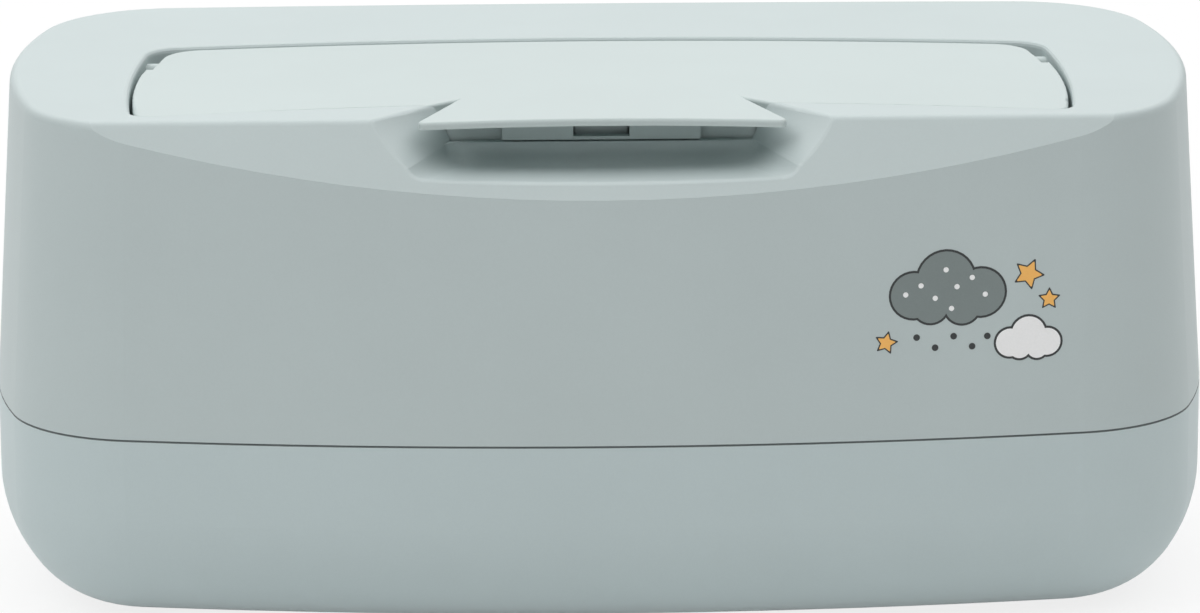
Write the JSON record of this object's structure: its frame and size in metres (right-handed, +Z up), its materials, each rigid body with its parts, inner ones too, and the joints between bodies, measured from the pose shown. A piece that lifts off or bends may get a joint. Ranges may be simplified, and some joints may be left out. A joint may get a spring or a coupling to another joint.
{
  "type": "baby wipes box",
  "caption": "Rounded two-part plastic box for folded wipes, with a lift-off cover, a hinged flap with a pull tab over a finger scoop, seals, feet and a weighted press plate.",
  "frame": {"origin": "on the ground below the middle of the box", "axes": "+X along the length, -Y towards the front with the finger scoop, +Z up"},
  "size_m": [0.225, 0.114, 0.0959],
  "materials": {
    "tray_plastic": "sage grey polypropylene with a fine moulded texture",
    "cover_plastic": "sage grey polypropylene with a fine moulded texture",
    "flap_plastic": "sage grey polypropylene with a fine moulded texture",
    "plate_plastic": "off-white polypropylene, smooth matt",
    "seal_rubber": "soft pale silicone",
    "foot_rubber": "soft grey silicone",
    "weight_steel": "rolled stainless steel bar"
  },
  "bodies": {
    "tray": {"base_tray": "tray_plastic", "base_seal": "seal_rubber", "non_slip_feet": "foot_rubber"},
    "cover": {"cover_shell": "cover_plastic"},
    "flap": {"flap": "flap_plastic", "flap_seal": "seal_rubber"},
    "plate": {"press_plate": "plate_plastic", "press_weights": "weight_steel"}
  },
  "joints": [
    {"name": "cover_lift", "type": "slide", "parent": "tray", "child": "cover", "axis": [0, 0, 1], "range_m": [0, 0.08]},
    {"name": "flap_hinge", "type": "hinge", "parent": "cover", "child": "flap", "pos_m": [0, 0.011, 0.0927], "axis": [-1, 0, 0], "range_deg": [0, 110]},
    {"name": "plate_slide", "type": "slide", "parent": "tray", "child": "plate", "axis": [0, 0, 1], "range_m": [0, 0.06]}
  ]
}
